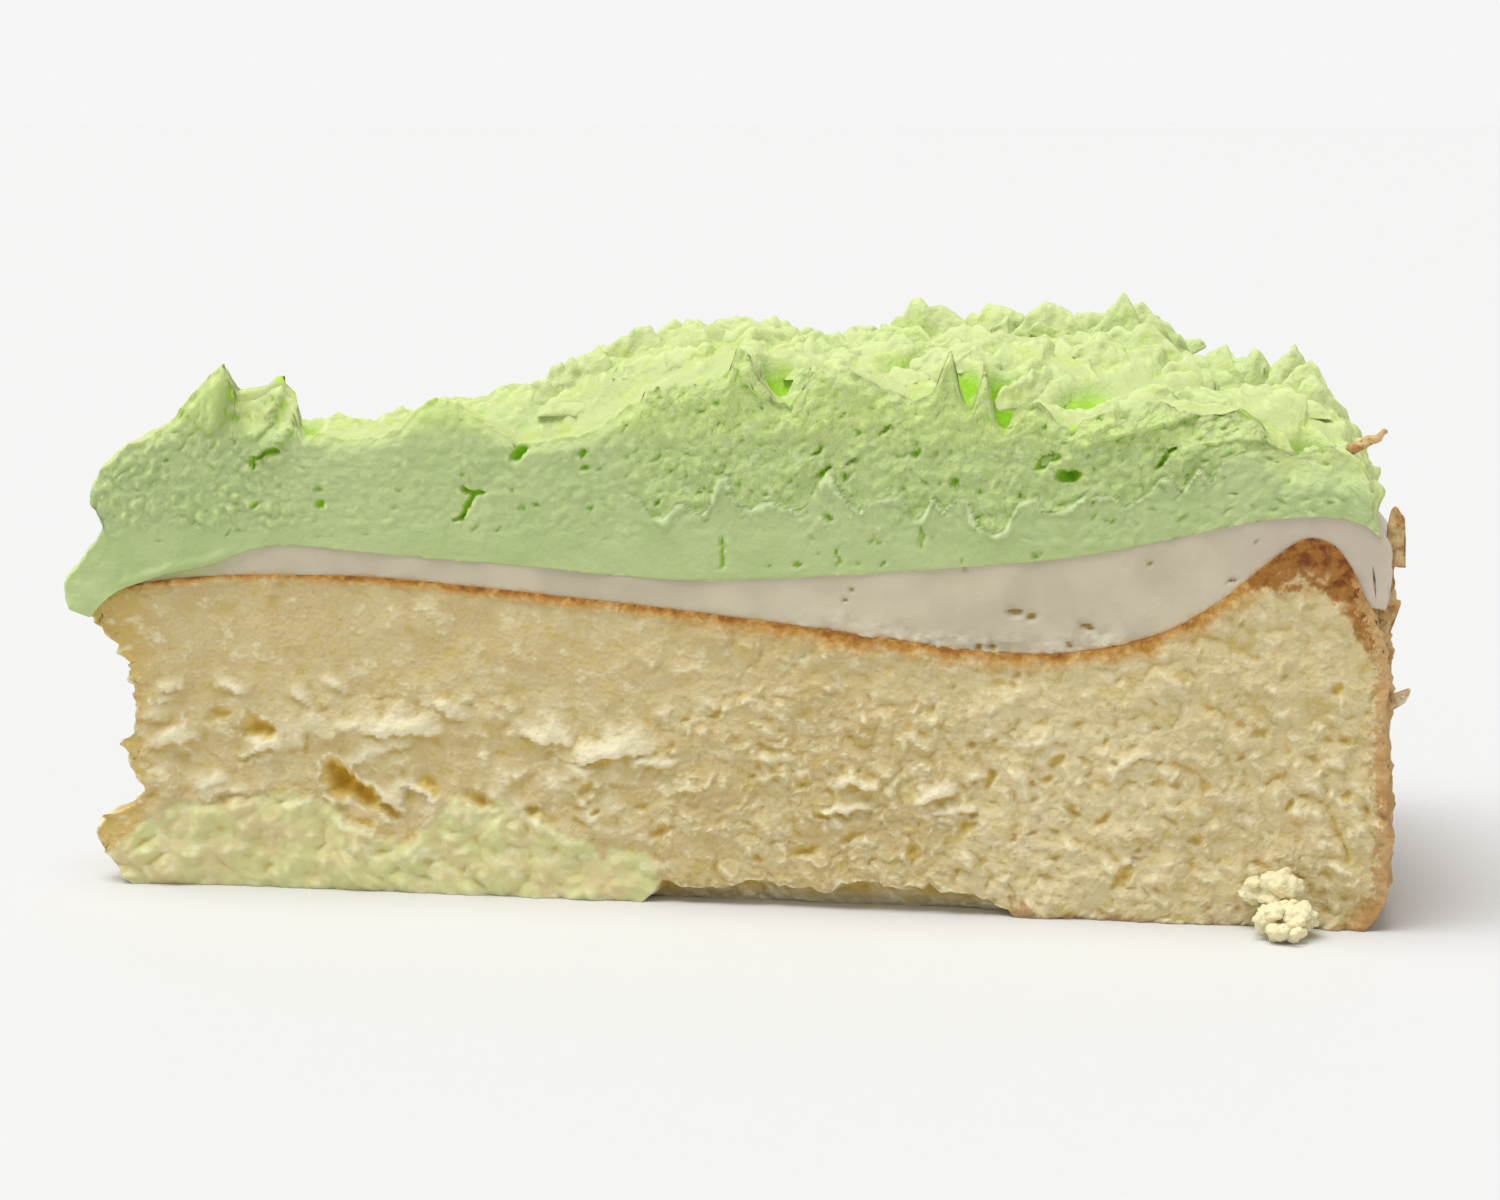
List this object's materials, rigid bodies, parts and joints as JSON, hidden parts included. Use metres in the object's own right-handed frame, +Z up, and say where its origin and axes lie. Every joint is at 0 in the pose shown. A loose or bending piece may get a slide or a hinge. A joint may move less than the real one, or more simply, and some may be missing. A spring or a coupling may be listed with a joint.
{
  "type": "key lime cheesecake slice",
  "caption": "Wedge of key lime cheesecake: baked cake with a browned crust line, a white cream layer and heaped lime frosting with pulled peaks, lying on its flat base.",
  "frame": {"origin": "middle of the bounding box's bottom, on the plate under the slice", "axes": "+Z up, +X from the slice's pointed tip to its browned rim, and the cut face that shows the layers faces -Y"},
  "size_m": [0.13, 0.0731, 0.0578],
  "materials": {
    "baked_cake": "matte",
    "cream": "satin",
    "frosting": "matte"
  },
  "bodies": {
    "root": {"cake": "baked_cake", "white_cream": "cream", "lime_frosting": "frosting"}
  },
  "joints": []
}
